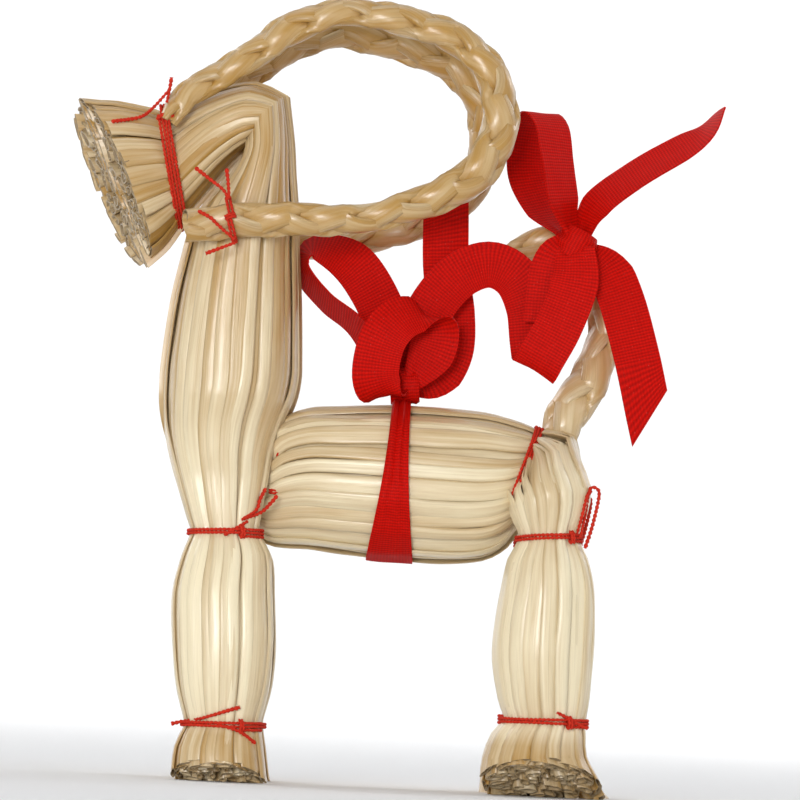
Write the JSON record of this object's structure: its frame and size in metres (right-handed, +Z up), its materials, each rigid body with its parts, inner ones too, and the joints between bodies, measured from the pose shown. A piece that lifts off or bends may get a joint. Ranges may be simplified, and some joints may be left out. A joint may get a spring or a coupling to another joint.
{
  "type": "straw goat ornament",
  "caption": "Standing goat figure of thread-tied straw bundles with plaited straw horns looping back to the neck, a plaited tail and a ribbon tied in bows on back and tail.",
  "frame": {"origin": "middle of the bounding box, on the surface that the goat stands on", "axes": "+Z up; the goat looks towards -X, and its near side, with the slanted hind foot, is -Y"},
  "size_m": [0.098, 0.0359, 0.1172],
  "materials": {
    "straw": "flattened pale gold straw with a silky sheen",
    "plaited_straw": "glossy plaited straw",
    "ribbon": "ribbed woven ribbon",
    "thread": "twisted cotton thread"
  },
  "bodies": {
    "root": {"neck_bundle": "straw", "body_bundle": "straw", "horn_near": "plaited_straw", "horn_far": "plaited_straw", "tail_braid": "plaited_straw", "ribbon": "ribbon", "muzzle_tie": "thread", "chest_tie": "thread", "rump_tie": "thread", "horn_tie_near": "thread", "horn_tie_far": "thread", "front_knee_tie_near": "thread", "front_knee_tie_far": "thread", "front_ankle_tie_near": "thread", "front_ankle_tie_far": "thread", "hind_knee_tie_near": "thread", "hind_knee_tie_far": "thread", "hind_ankle_tie_near": "thread", "hind_ankle_tie_far": "thread"}
  },
  "joints": []
}
